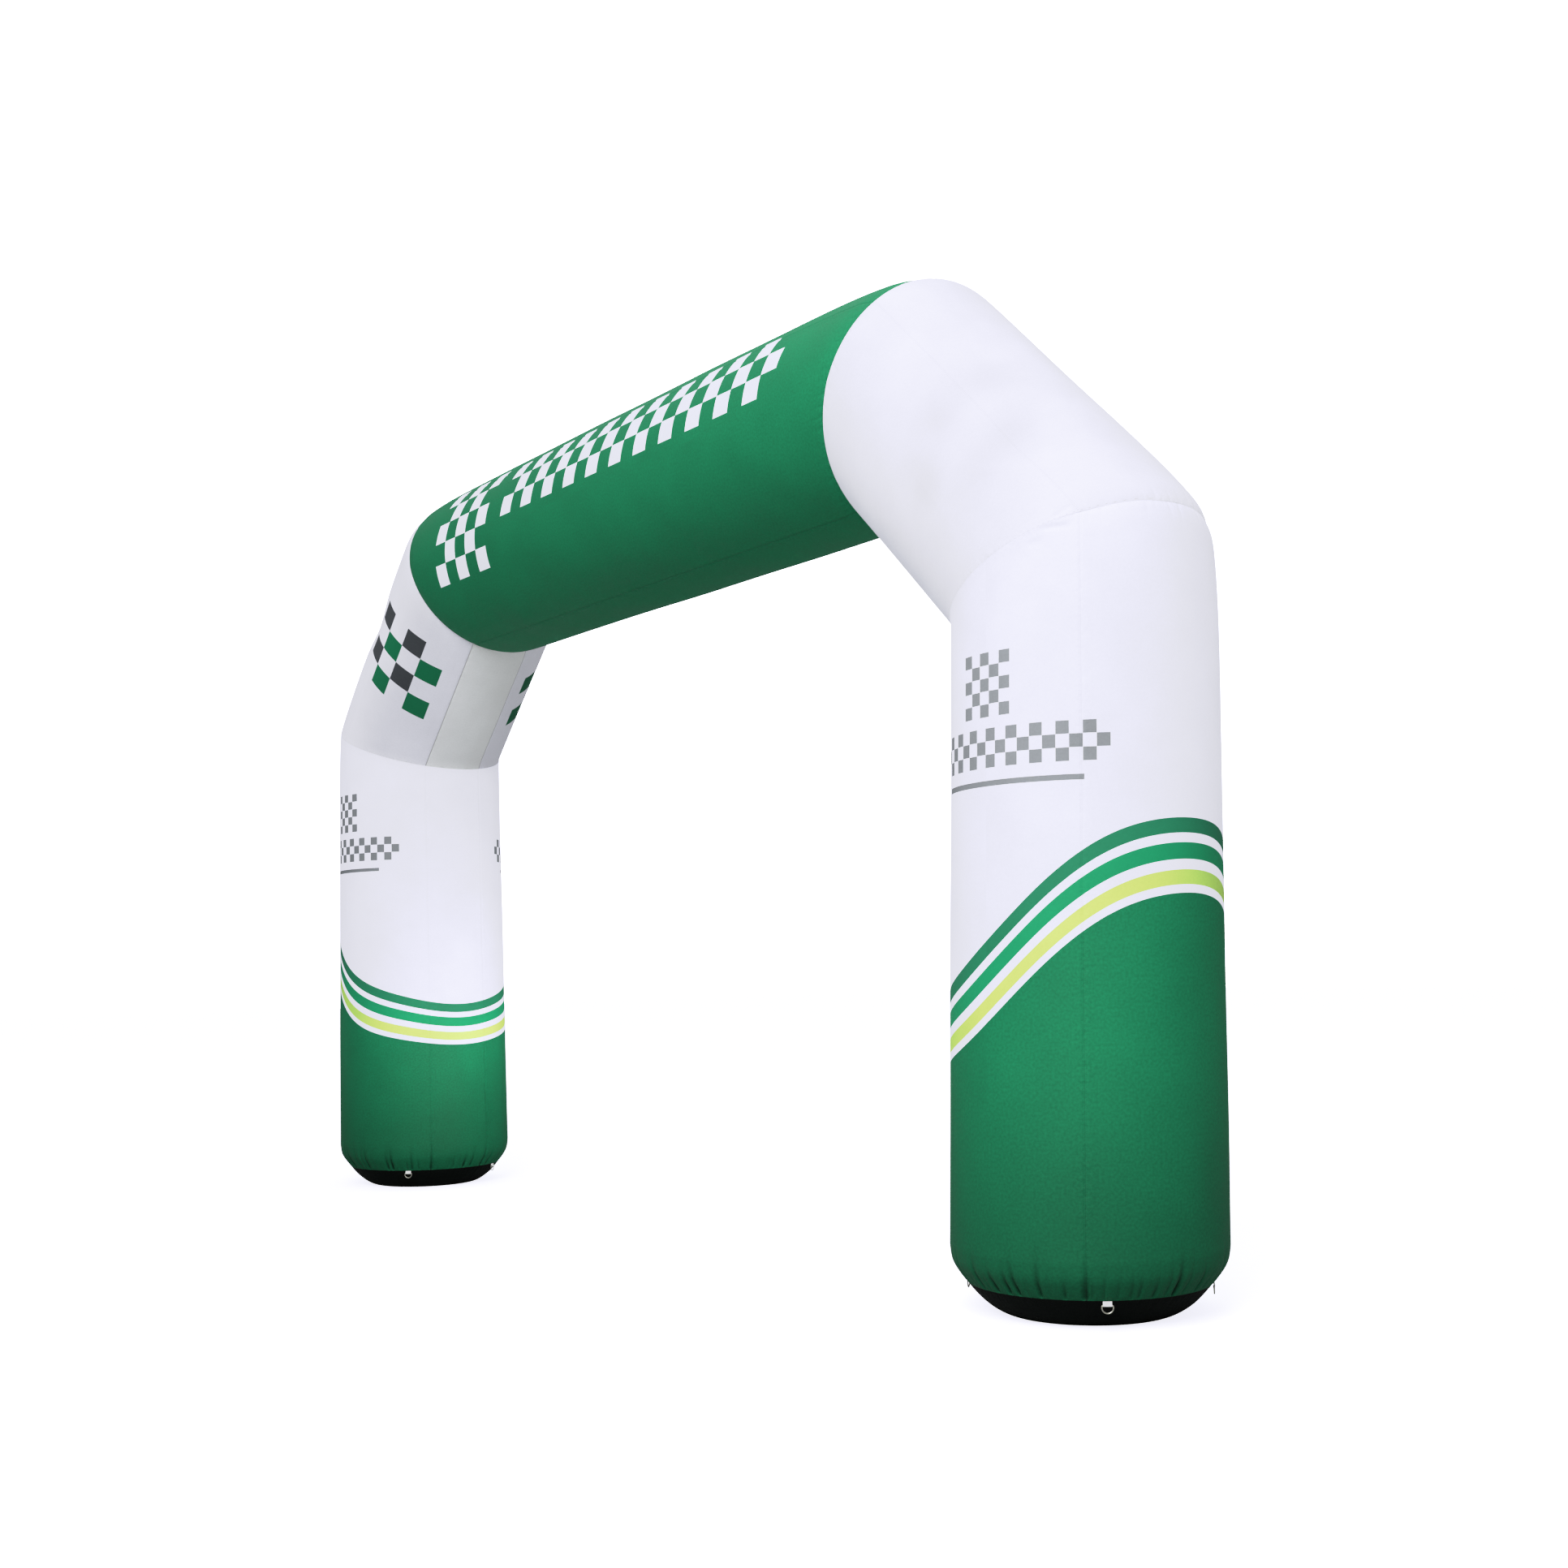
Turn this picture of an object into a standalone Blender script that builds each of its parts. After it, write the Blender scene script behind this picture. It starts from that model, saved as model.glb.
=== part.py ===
"""Inflatable arch: two legs, two shoulders and a crossbar, five air-filled cloth tubes sewn end to end.

Each leg stands on a rounded black base. Webbing loops with D-rings are sewn into the seam above it.
Metres, +X along the arch, -Y to its front, +Z up, the origin on the ground midway between the legs.
Angles round a tube start at its front and grow towards the outside of the arch.
"""
import math

import bmesh
import bpy
from mathutils import Vector

# Centre line of the tube, right half; the left half is its mirror image
FOOT = Vector((2.762, 0.0, 0.0))
KNEE = Vector((2.863, 0.0, 2.673))
CORNER = Vector((1.961, 0.0, 3.582))

# Tube
GAP = 0.0003
FOOT_RADIUS = 0.500
KNEE_RADIUS = 0.487
CROWN_RADIUS = 0.492
SEAM_ANGLES = (-69, 43, 137, 249)
SEAM_DEPTH = 0.0025
CREASE_DEPTH = 0.009
CREASE_REACH = 0.060

# Base and the gathered cloth above it
SOLE_RADIUS = 0.293
BASE_SEAM = 0.110
ROUNDING_HEIGHT = 0.246
ROUNDING_POWER = 1.49
GATHER_DEPTH = 0.0035
GATHER_PEAK = 0.020
GATHER_UNEVENNESS = 0.4
GATHER_BEAT = 1.7

# Soft dents in the shoulders: half of the arch, angle, distance from the corner, depth, reach
DENTS = (
    (1, 28, 0.63, 0.010, 0.13),
    (1, 48, 0.97, 0.012, 0.17),
    (1, -2, 0.76, 0.008, 0.12),
    (1, 150, 0.60, 0.010, 0.20),
    (-1, 30, 0.55, 0.008, 0.16),
    (-1, 150, 0.80, 0.009, 0.18),
)

# D-rings and their webbing loops
RING_ANGLES = (-129, -52, 52, 129)
RING_WIDTH = 0.044
RING_WIRE = 0.005
RING_SIDE = 0.006
RING_BEND = 0.004
RING_DROP = 0.0155
WEBBING_WIDTH = 0.031
WEBBING_THICKNESS = 0.0018
WEBBING_PLAY = 0.0004
WEBBING_TOP = 0.001

# Mesh steps
LEG_STEP = 4.3
TUBE_STEP = 6.0
SOLE_ROWS = (0.0, 0.006, 0.022, 0.050, 0.080)
GATHER_ROWS = (0.0, 0.012, 0.040, 0.080, 0.130, 0.190, 0.280)
CREASE_ROWS = (0.0, 0.030, 0.120)
LEG_MIDDLE = 2
SHOULDER_MIDDLE = 6
CROSSBAR_MIDDLE = 3
FOLD_START = 200
FOLD_STEP = 20
WIRE_STEP = 15
BEND_STEP = 45


def clear_scene():
    """Remove the objects that the file opened with."""
    for thing in list(bpy.data.objects):
        bpy.data.objects.remove(thing, do_unlink=True)


def material(name, colour, roughness, metallic=0.0):
    """Plain Principled material, made once for each name."""
    if name in bpy.data.materials:
        return bpy.data.materials[name]
    made = bpy.data.materials.new(name)
    made.use_nodes = True
    shader = made.node_tree.nodes["Principled BSDF"]
    shader.inputs["Base Color"].default_value = (*colour, 1.0)
    shader.inputs["Roughness"].default_value = roughness
    shader.inputs["Metallic"].default_value = metallic
    return made


def white_cloth():
    return material("white_cloth", (0.78, 0.79, 0.86), 0.5)


def green_cloth():
    return material("green_cloth", (0.02, 0.22, 0.08), 0.5)


def black_cloth():
    return material("black_cloth", (0.006, 0.009, 0.007), 0.6)


def white_webbing():
    return material("white_webbing", (0.80, 0.81, 0.80), 0.7)


def ring_metal():
    return material("ring_metal", (0.56, 0.54, 0.45), 0.3, 1.0)


def column_angles(step):
    """Angles of a tube's columns, with one on each lengthwise seam and even spaces between them."""
    turns = SEAM_ANGLES + (SEAM_ANGLES[0] + 360,)
    angles = []
    for start, end in zip(turns, turns[1:]):
        count = 2 * round((end - start) / step / 2)
        angles += [start + (end - start) * index / count for index in range(count)]
    return angles


def mirrored(point, side):
    """The point on the right half, or its mirror image on the left one."""
    return Vector((point.x * side, point.y, point.z))


def cut_normal(before, corner, after):
    """Normal of the mitre that halves the bend of the centre line at a corner."""
    return ((corner - before).normalized() + (after - corner).normalized()).normalized()


def rounding(height):
    """Share of the way from the sole's rim to the full tube that the base has reached at a height."""
    if height >= ROUNDING_HEIGHT:
        return 1.0
    left = 1 - height / ROUNDING_HEIGHT
    return (1 - left ** ROUNDING_POWER) ** (1 / ROUNDING_POWER)


def leg_radius(height):
    """Radius of the leg and of its base at a height over the ground."""
    full = FOOT_RADIUS + (KNEE_RADIUS - FOOT_RADIUS) * height / KNEE.z
    return SOLE_RADIUS + (full - SOLE_RADIUS) * rounding(height)


def crease(distance):
    """Depth to which a mitre seam draws the cloth in, at a distance from it."""
    return CREASE_DEPTH * math.exp(-((distance / CREASE_REACH) ** 2))


def gather(distance, column):
    """In and out of the gathered cloth at a distance over the base seam, column by column."""
    share = distance / GATHER_PEAK
    sign = 1 if column % 2 else -1
    uneven = 1 + GATHER_UNEVENNESS * math.sin(GATHER_BEAT * column)
    return sign * GATHER_DEPTH * uneven * share * math.exp(1 - share)


def dent(side, angle, distance):
    """Depth of the soft dents at a place on a shoulder."""
    total = 0.0
    for half, centre, along, depth, reach in DENTS:
        arc = math.radians(angle - centre) * KNEE_RADIUS
        if half == side:
            total += depth * math.exp(-(arc ** 2 + (distance - along) ** 2) / reach ** 2)
    return total


def seam(angle):
    """Depth of a lengthwise seam at an angle."""
    return SEAM_DEPTH if angle in SEAM_ANGLES else 0.0


def tube(name, columns, rows, place, cloth):
    """Closed tube with flat ends, each point of which goes where place(column, row) says."""
    shape = bmesh.new()
    points = [shape.verts.new((1.0, 0.0, row)) for row in range(rows)]
    edges = [shape.edges.new(pair) for pair in zip(points, points[1:])]
    bmesh.ops.spin(
        shape, geom=points + edges, cent=(0, 0, 0), axis=(0, 0, 1),
        angle=math.tau, steps=columns, use_merge=True,
    )
    rims = [edge for edge in shape.edges if edge.is_boundary]
    bmesh.ops.holes_fill(shape, edges=rims, sides=0)
    for vert in shape.verts:
        column = round(math.atan2(vert.co.y, vert.co.x) / math.tau * columns) % columns
        vert.co = place(column, round(vert.co.z))
    bmesh.ops.recalc_face_normals(shape, faces=shape.faces)
    if shape.calc_volume(signed=True) < 0:
        bmesh.ops.reverse_faces(shape, faces=shape.faces)
    return add_object(name, shape, cloth)


def add_object(name, shape, finish):
    """Object of a finished bmesh, smooth but for its sharp edges."""
    mesh = bpy.data.meshes.new(name)
    shape.to_mesh(mesh)
    shape.free()
    mesh.shade_smooth()
    mesh.set_sharp_from_angle(angle=math.radians(40))
    thing = bpy.data.objects.new(name, mesh)
    thing.data.materials.append(finish)
    bpy.context.collection.objects.link(thing)
    return thing


def spokes(start, end, angles):
    """Unit vectors from the centre line to the tube's wall, for a run of the line from start to end."""
    along = (end - start).normalized()
    front = Vector((0.0, -1.0, 0.0))
    outside = Vector((-along.z, 0.0, along.x))
    turns = [math.radians(angle) for angle in angles]
    return [front * math.cos(turn) + outside * math.sin(turn) for turn in turns]


def row_place(row, low, high, low_steps, high_steps, middle):
    """Place of a row between two ends: given steps near each end and even spaces between them."""
    near = low + low_steps[-1]
    far = high - high_steps[-1]
    rows_left = len(low_steps) + middle + len(high_steps) - 1 - row
    if row < len(low_steps):
        return low + low_steps[row]
    if rows_left < len(high_steps):
        return high - high_steps[rows_left]
    return near + (far - near) * (row - len(low_steps) + 1) / (middle + 1)


def slant_tube(name, line, step, radius, cloth, middle):
    """Tube between two mitres; line holds the corners before, at its start, at its end and after."""
    before, start, end, after = line
    along = (end - start).normalized()
    angles = column_angles(step)
    rims = spokes(start, end, angles)
    first = cut_normal(before, start, end)
    last = cut_normal(start, end, after)
    rows = len(CREASE_ROWS) * 2 + middle

    def place(column, row):
        rim = rims[column] * (KNEE_RADIUS - CREASE_DEPTH)
        low = -rim.dot(first) / along.dot(first) + GAP / 2
        high = (end - start - rim).dot(last) / along.dot(last) - GAP / 2
        distance = row_place(row, low, high, CREASE_ROWS, CREASE_ROWS, middle)
        edge = min(distance - low, high - distance)
        size = radius(angles[column], distance, edge) - crease(edge)
        if 0 < row < rows - 1:
            size -= seam(angles[column])
        return start + along * distance + rims[column] * size

    return tube(name, len(angles), rows, place, cloth)


def shoulder(name, side):
    """White tube that slants from the knee to the crossbar."""
    line = [mirrored(point, side) for point in (FOOT, KNEE, CORNER)]
    line.append(mirrored(CORNER, -side))
    if side > 0:
        line.reverse()
    length = (KNEE - CORNER).length

    def radius(angle, distance, edge):
        from_corner = distance if side > 0 else length - distance
        return KNEE_RADIUS - dent(side, angle, from_corner) * (1 - math.exp(-edge / CREASE_REACH))

    return slant_tube(name, line, TUBE_STEP, radius, white_cloth(), SHOULDER_MIDDLE)


def crossbar():
    """Green tube along the top of the arch, a little fuller than the shoulders."""
    line = [mirrored(KNEE, -1), mirrored(CORNER, -1), CORNER, KNEE]

    def radius(angle, distance, edge):
        fullness = 1 - math.exp(-edge / CREASE_REACH)
        return KNEE_RADIUS + (CROWN_RADIUS - KNEE_RADIUS) * fullness

    return slant_tube("crossbar", line, TUBE_STEP, radius, green_cloth(), CROSSBAR_MIDDLE)


def leg(name, side):
    """Leg tube, level at the base seam and cut to the mitre at the knee."""
    angles = column_angles(LEG_STEP)
    slope = (KNEE.x - FOOT.x) / KNEE.z
    tilt = cut_normal(FOOT, KNEE, CORNER)
    rows = len(GATHER_ROWS) + len(CREASE_ROWS) + LEG_MIDDLE

    def top(angle):
        """Height at which the mitre cuts the wall."""
        reach = (KNEE_RADIUS - CREASE_DEPTH) * math.sin(math.radians(angle))
        lean = slope * tilt.x + tilt.z
        return KNEE.z - reach * tilt.x / lean - GAP / 2

    def place(column, row):
        angle = angles[column]
        low = BASE_SEAM + GAP
        high = top(angle)
        height = row_place(row, low, high, GATHER_ROWS, CREASE_ROWS, LEG_MIDDLE)
        if row == rows - 1:
            return ring_point(side, angle, KNEE_RADIUS - CREASE_DEPTH, height)
        size = leg_radius(height) + gather(height - low, column) - crease(high - height)
        if row > 0:
            size -= seam(angle)
        return ring_point(side, angle, size, height)

    return tube(name, len(angles), rows, place, white_cloth())


def ring_point(side, angle, size, height):
    """Point of a leg or base, at an angle and a distance from its centre line."""
    centre = FOOT.x + (KNEE.x - FOOT.x) * height / KNEE.z
    turn = math.radians(angle)
    return Vector((side * (centre + size * math.sin(turn)), -size * math.cos(turn), height))


def base(name, side):
    """Black cup from the flat sole on the ground up to the base seam."""
    angles = column_angles(LEG_STEP)
    heights = SOLE_ROWS + (BASE_SEAM,)

    def place(column, row):
        height = heights[row]
        return ring_point(side, angles[column], leg_radius(height), height)

    return tube(name, len(angles), len(heights), place, black_cloth())


def ring_frame(name, side, angle):
    """Empty on the base seam, its X axis along the seam and its -Y axis away from the leg."""
    frame = bpy.data.objects.new(name, None)
    frame.location = ring_point(side, angle, leg_radius(BASE_SEAM), BASE_SEAM)
    frame.rotation_euler = (0.0, 0.0, side * math.radians(angle))
    bpy.context.collection.objects.link(frame)
    return frame


def webbing_hang():
    """Offsets of the two plies of webbing from the base seam, back ply first."""
    slope = (leg_radius(BASE_SEAM) - leg_radius(SOLE_ROWS[-1])) / (BASE_SEAM - SOLE_ROWS[-1])
    clearance = GAP * math.hypot(1, slope)
    back = slope * WEBBING_TOP - clearance - WEBBING_THICKNESS / 2
    return back, back - WEBBING_THICKNESS - GAP


def webbing_loop(name, frame):
    """Strip of webbing folded round the ring's bar, its two ends sewn in just under the base seam."""
    back, front = webbing_hang()
    reach = RING_WIRE / 2 + WEBBING_PLAY + WEBBING_THICKNESS / 2
    path = [(back, -WEBBING_TOP)]
    for degrees in range(FOLD_START, 180 - FOLD_START - FOLD_STEP, -FOLD_STEP):
        turn = math.radians(degrees)
        away = (back + front) / 2 - reach * math.cos(turn)
        path.append((away, -RING_DROP - reach * math.sin(turn)))
    path.append((front, -WEBBING_TOP))

    shape = bmesh.new()
    verts = [shape.verts.new((-WEBBING_WIDTH / 2, away, up)) for away, up in path]
    edges = [shape.edges.new(pair) for pair in zip(verts, verts[1:])]
    grown = bmesh.ops.extrude_edge_only(shape, edges=edges)["geom"]
    moved = [item for item in grown if isinstance(item, bmesh.types.BMVert)]
    bmesh.ops.translate(shape, verts=moved, vec=(WEBBING_WIDTH, 0.0, 0.0))
    bmesh.ops.recalc_face_normals(shape, faces=shape.faces)
    loop = add_object(name, shape, white_webbing())
    loop.parent = frame
    solidify = loop.modifiers.new("thickness", "SOLIDIFY")
    solidify.thickness = WEBBING_THICKNESS
    solidify.offset = 0.0
    solidify.use_even_offset = True


def d_ring(name, frame):
    """Wire ring with a straight bar in the webbing and its round half hanging down."""
    radius = (RING_WIDTH - RING_WIRE) / 2
    right = []
    for degrees in range(90, -BEND_STEP, -BEND_STEP):
        turn = math.radians(degrees)
        across = radius - RING_BEND + RING_BEND * math.cos(turn)
        right.append((across, RING_BEND * (math.sin(turn) - 1)))
    left = [(-across, up) for across, up in reversed(right)]
    turns = [math.radians(degrees) for degrees in range(0, 180 + WIRE_STEP, WIRE_STEP)]
    round_half = [(radius * math.cos(turn), -RING_SIDE - radius * math.sin(turn)) for turn in turns]
    path = right + round_half + left

    curve = bpy.data.curves.new(name, "CURVE")
    curve.dimensions = "3D"
    curve.bevel_depth = RING_WIRE / 2
    curve.bevel_resolution = 1
    spline = curve.splines.new("POLY")
    spline.points.add(len(path) - 1)
    spline.use_cyclic_u = True
    for point, (across, up) in zip(spline.points, path):
        point.co = (across, 0.0, up, 1.0)
    curve.materials.append(ring_metal())
    ring = bpy.data.objects.new(name, curve)
    ring.location = (0.0, sum(webbing_hang()) / 2, -RING_DROP)
    ring.parent = frame
    bpy.context.collection.objects.link(ring)


def build():
    """Both halves of the arch and the crossbar between them."""
    clear_scene()
    crossbar()
    for half, side in (("left", -1), ("right", 1)):
        shoulder(f"shoulder_{half}", side)
        leg(f"leg_{half}", side)
        base(f"base_{half}", side)
        for number, angle in enumerate(RING_ANGLES, start=1):
            frame = ring_frame(f"anchor_{half}_{number}", side, angle)
            webbing_loop(f"tab_{half}_{number}", frame)
            d_ring(f"ring_{half}_{number}", frame)


build()
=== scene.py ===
import math
import random

import bmesh
import bpy
import numpy as np
from mathutils import Matrix, Vector


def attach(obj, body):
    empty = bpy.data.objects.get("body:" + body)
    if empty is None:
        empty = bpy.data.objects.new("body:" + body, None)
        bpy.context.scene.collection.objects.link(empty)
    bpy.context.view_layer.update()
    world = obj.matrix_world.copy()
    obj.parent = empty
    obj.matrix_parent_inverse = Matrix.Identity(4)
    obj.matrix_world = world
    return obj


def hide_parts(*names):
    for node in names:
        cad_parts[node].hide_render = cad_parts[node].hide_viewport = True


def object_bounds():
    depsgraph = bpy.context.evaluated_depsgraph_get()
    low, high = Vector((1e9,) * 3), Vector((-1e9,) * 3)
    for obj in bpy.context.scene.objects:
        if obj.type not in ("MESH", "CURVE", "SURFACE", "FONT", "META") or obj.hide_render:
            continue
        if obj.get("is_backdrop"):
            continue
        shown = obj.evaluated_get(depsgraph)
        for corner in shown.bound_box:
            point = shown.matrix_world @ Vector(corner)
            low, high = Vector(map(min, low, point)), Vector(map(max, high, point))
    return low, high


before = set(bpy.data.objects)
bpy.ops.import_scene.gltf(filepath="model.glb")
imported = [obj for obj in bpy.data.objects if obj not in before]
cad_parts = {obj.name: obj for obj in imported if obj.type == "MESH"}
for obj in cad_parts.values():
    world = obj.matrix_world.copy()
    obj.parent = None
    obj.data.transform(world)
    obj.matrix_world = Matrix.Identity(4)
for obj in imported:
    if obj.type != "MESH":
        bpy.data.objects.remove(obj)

cad_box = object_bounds()
scene = bpy.context.scene

# The camera stands off the near leg at chest height and looks slightly up, so that the whole arch is in view.
# Its place, its turn and its lens were fitted to the photograph.
CAMERA_PLACE = Vector((7.435, -4.779, 1.243))
CAMERA_YAW = math.radians(-53.51)
CAMERA_PITCH = math.radians(5.89)
CAMERA_ROLL = math.radians(-1.09)
CAMERA_LENS = 41.03
CAMERA_SENSOR = 36.0


def aim(place, yaw, pitch, roll):
    """Matrix of a camera at a place, turned left or right, up and round its own axis."""
    ahead = Vector((math.sin(yaw) * math.cos(pitch), math.cos(yaw) * math.cos(pitch), math.sin(pitch)))
    level = Vector((math.cos(yaw), -math.sin(yaw), 0.0))
    upright = level.cross(ahead)
    right = level * math.cos(roll) + upright * math.sin(roll)
    top = upright * math.cos(roll) - level * math.sin(roll)
    turned = Matrix((right, top, -ahead)).transposed().to_4x4()
    return Matrix.Translation(place) @ turned


lens = bpy.data.cameras.new("camera")
lens.lens = CAMERA_LENS
lens.sensor_width = CAMERA_SENSOR
lens.clip_end = 300.0
camera = bpy.data.objects.new("camera", lens)
camera.matrix_world = aim(CAMERA_PLACE, CAMERA_YAW, CAMERA_PITCH, CAMERA_ROLL)
scene.collection.objects.link(camera)
scene.camera = camera

# A pale studio floor runs out to a white surround. The light is one large soft lamp high in front on the right,
# a dim sky that is paler above than at the sides, and a soft panel in the opening that lights the far leg.
# The view's tone curve keeps the whites soft and slightly cool, as in the photograph.
FLOOR_SIZE = 120.0
FLOOR_SEEN = (0.90, 0.90, 0.91)
FLOOR_LIFT = 0.95
FLOOR_BOUNCE = (0.29, 0.31, 0.30)
KEY_AIM = Vector((2.86, 0.0, 1.6))
KEY_TURN = math.radians(30)
KEY_HEIGHT = math.radians(34)
KEY_DISTANCE = 9.0
KEY_SIZE = 5.5
KEY_POWER = 800.0
SKY_TOP = (1.15, 1.17, 1.2)
SKY_SIDE = (0.16, 0.16, 0.17)
SKY_RISE = (0.30, 1.0)
SURROUND = (1.0, 1.0, 1.0)
SURROUND_STRENGTH = 4.0
TONE_INPUT = (0.0, 0.15, 0.30, 0.40, 0.50, 0.65, 0.85, 1.10, 1.40, 1.80)
WARM_TONES = (0.0, 0.2145, 0.43, 0.58, 0.68, 0.745, 0.805, 0.885, 0.96, 1.04)
BLUE_TONES = (0.0, 0.2145, 0.43, 0.59, 0.70, 0.785, 0.855, 0.955, 1.0, 1.04)
PANEL_PLACE = (0.2, 0.3, 0.95)
PANEL_SIZE = (1.2, 1.4)
PANEL_POWER = 5.5
PANEL_SPREAD = math.radians(44)


def node_tree(owner):
    """Empty node tree of a material or a world, with two short ways to add nodes and links."""
    owner.use_nodes = True
    tree = owner.node_tree
    tree.nodes.clear()

    def add(kind, **settings):
        made = tree.nodes.new("ShaderNode" + kind)
        for name, value in settings.items():
            if name.startswith("in_"):
                key = name[3:]
                made.inputs[int(key) if key.isdigit() else key.replace("_", " ")].default_value = value
            else:
                setattr(made, name, value)
        return made

    return tree, add, tree.links.new


def pale_floor():
    """Matt floor, as pale as the surround to the camera and darker in the light that it sends up."""
    made = bpy.data.materials.new("pale floor")
    tree, add, link = node_tree(made)
    path = add("LightPath")
    seen = add("BsdfDiffuse", in_Color=(*FLOOR_SEEN, 1.0))
    lift = add("Emission", in_Color=(1.0, 1.0, 1.0, 1.0), in_Strength=FLOOR_LIFT)
    both = add("AddShader")
    bounce = add("BsdfDiffuse", in_Color=(*FLOOR_BOUNCE, 1.0))
    mix = add("MixShader")
    out = add("OutputMaterial")
    link(seen.outputs[0], both.inputs[0])
    link(lift.outputs[0], both.inputs[1])
    link(path.outputs["Is Camera Ray"], mix.inputs[0])
    link(bounce.outputs[0], mix.inputs[1])
    link(both.outputs[0], mix.inputs[2])
    link(mix.outputs[0], out.inputs["Surface"])
    return made


ground = bmesh.new()
bmesh.ops.create_grid(ground, x_segments=1, y_segments=1, size=FLOOR_SIZE / 2)
floor_mesh = bpy.data.meshes.new("studio_floor")
ground.to_mesh(floor_mesh)
ground.free()
floor_mesh.materials.append(pale_floor())
floor = bpy.data.objects.new("studio_floor", floor_mesh)
scene.collection.objects.link(floor)
floor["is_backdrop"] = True

key_light = bpy.data.lights.new("key", "AREA")
key_light.shape = "DISK"
key_light.size = KEY_SIZE
key_light.energy = KEY_POWER
key = bpy.data.objects.new("key", key_light)
away = Matrix.Rotation(KEY_TURN, 4, "Z") @ Matrix.Rotation(math.pi / 2 - KEY_HEIGHT, 4, "X")
key.matrix_world = Matrix.Translation(KEY_AIM) @ away @ Matrix.Translation((0.0, 0.0, KEY_DISTANCE))
key.visible_camera = False
scene.collection.objects.link(key)

panel_light = bpy.data.lights.new("panel", "AREA")
panel_light.shape = "RECTANGLE"
panel_light.size, panel_light.size_y = PANEL_SIZE
panel_light.energy = PANEL_POWER
panel_light.spread = PANEL_SPREAD
panel = bpy.data.objects.new("panel", panel_light)
panel.location = PANEL_PLACE
panel.rotation_euler = (math.pi / 2, 0.0, math.pi / 2)
panel.visible_camera = False
panel.visible_glossy = False
scene.collection.objects.link(panel)

sky = bpy.data.worlds.new("studio")
scene.world = sky
tree, add, link = node_tree(sky)
where = add("TexCoord")
apart = add("SeparateXYZ")
blend = add("Mix", data_type="RGBA")
blend.inputs[6].default_value = (*SKY_SIDE, 1.0)
blend.inputs[7].default_value = (*SKY_TOP, 1.0)
light = add("Background", in_Strength=1.0)
white = add("Background", in_Color=(*SURROUND, 1.0), in_Strength=SURROUND_STRENGTH)
path = add("LightPath")
choice = add("MixShader")
out = add("OutputWorld")
link(where.outputs["Generated"], apart.inputs[0])
rise = add(
    "MapRange", in_1=SKY_RISE[0], in_2=SKY_RISE[1], in_3=0.0, in_4=1.0, interpolation_type="SMOOTHSTEP",
)
link(apart.outputs["Z"], rise.inputs[0])
link(rise.outputs[0], blend.inputs[0])
link(blend.outputs[2], light.inputs["Color"])
link(path.outputs["Is Camera Ray"], choice.inputs[0])
link(light.outputs[0], choice.inputs[1])
link(white.outputs[0], choice.inputs[2])
link(choice.outputs[0], out.inputs["Surface"])

view = scene.view_settings
view.view_transform = "Standard"
view.use_curve_mapping = True
view.curve_mapping.use_clip = False
for channel, tones in enumerate((WARM_TONES, WARM_TONES, BLUE_TONES)):
    curve = view.curve_mapping.curves[channel]
    curve.points[1].location = (TONE_INPUT[-1], tones[-1])
    for stop in list(zip(TONE_INPUT, tones))[1:-1]:
        curve.points.new(*stop)
view.curve_mapping.update()

# The two leg tubes are printed polyester panels with a thin coat, sewn edge to edge along four seams.
# White above and green below, with slanting stripes between; the foot is gathered into the base seam.
FOOT = Vector((2.762, 0.0, 0.0))
KNEE = Vector((2.863, 0.0, 2.673))
CORNER = Vector((1.961, 0.0, 3.582))
LEFT_CORNER = Vector((-CORNER.x, 0.0, CORNER.z))
GAP = 0.0003
FOOT_RADIUS = 0.500
KNEE_RADIUS = 0.487
SOLE_RADIUS = 0.293
BASE_SEAM = 0.110
ROUNDING_HEIGHT = 0.246
ROUNDING_POWER = 1.49
KNEE_EASE = 0.026
KNEE_REACH = 0.16
KNEE_ROLL, SEAM_ROLL, ROLL_REACH = 0.0080, 0.0052, 0.040
KNEE_CREASE, SEAM_CREASE, CREASE_REACH = 0.0090, 0.0038, 0.012
OUTER_START, OUTER_SPREAD, INNER_SHARE = 0.52, 0.30, 0.04
LEG_NICKS = (
    (33, 0.026, 0.050, 0.009, 0.0060),
    (24, 0.050, 0.030, 0.008, 0.0040),
    (146, 0.030, 0.050, 0.009, 0.0060),
)
NICK_SLANT = 0.25
GATHER_DEPTH = 0.0115
FOOT_GATHERS = (0.47, 0.036, GATHER_DEPTH, 0.080, 0.022, 2)
KNEE_PLEATS = (0.48, 0.052, 0.0020, 0.040, 0.016)
# Painted shade in the creases of the gathered foot.
FOLD_SHADE = 0.75
FOOT_FULLNESS = 0.008
FULLEST = 0.178
FULL_REACH = 0.040
INNER_FILL = 0.008
INNER_REACH = 0.020

COLUMNS = 720
SEAM_ANGLES = (-69, 43, 137, 249)
PLAIN_SEAMS = (0.0024, 0.0024, 0.0024, 0.0024)
SEAM_DEPTH = 0.0024
SEAM_REACH = 0.0055
SEAM_PUCKER = 0.010
PUCKER_WIDTH, PUCKER_HEIGHT, PUCKER_START = 0.010, 0.10, 0.006
PUCKER_SHADE = (0.006, 0.085)
MITRE_LINE = 0.0024
KNEE_LINE = 0.0036
LEG_WAVES, LEG_WAVE_START = 0.0012, 0.3
LEG_SEED = 20
MITRE_STEPS = (0.0, 0.002, 0.005, 0.009, 0.014, 0.020, 0.027, 0.035, 0.045, 0.057, 0.071, 0.086, 0.100)

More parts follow.
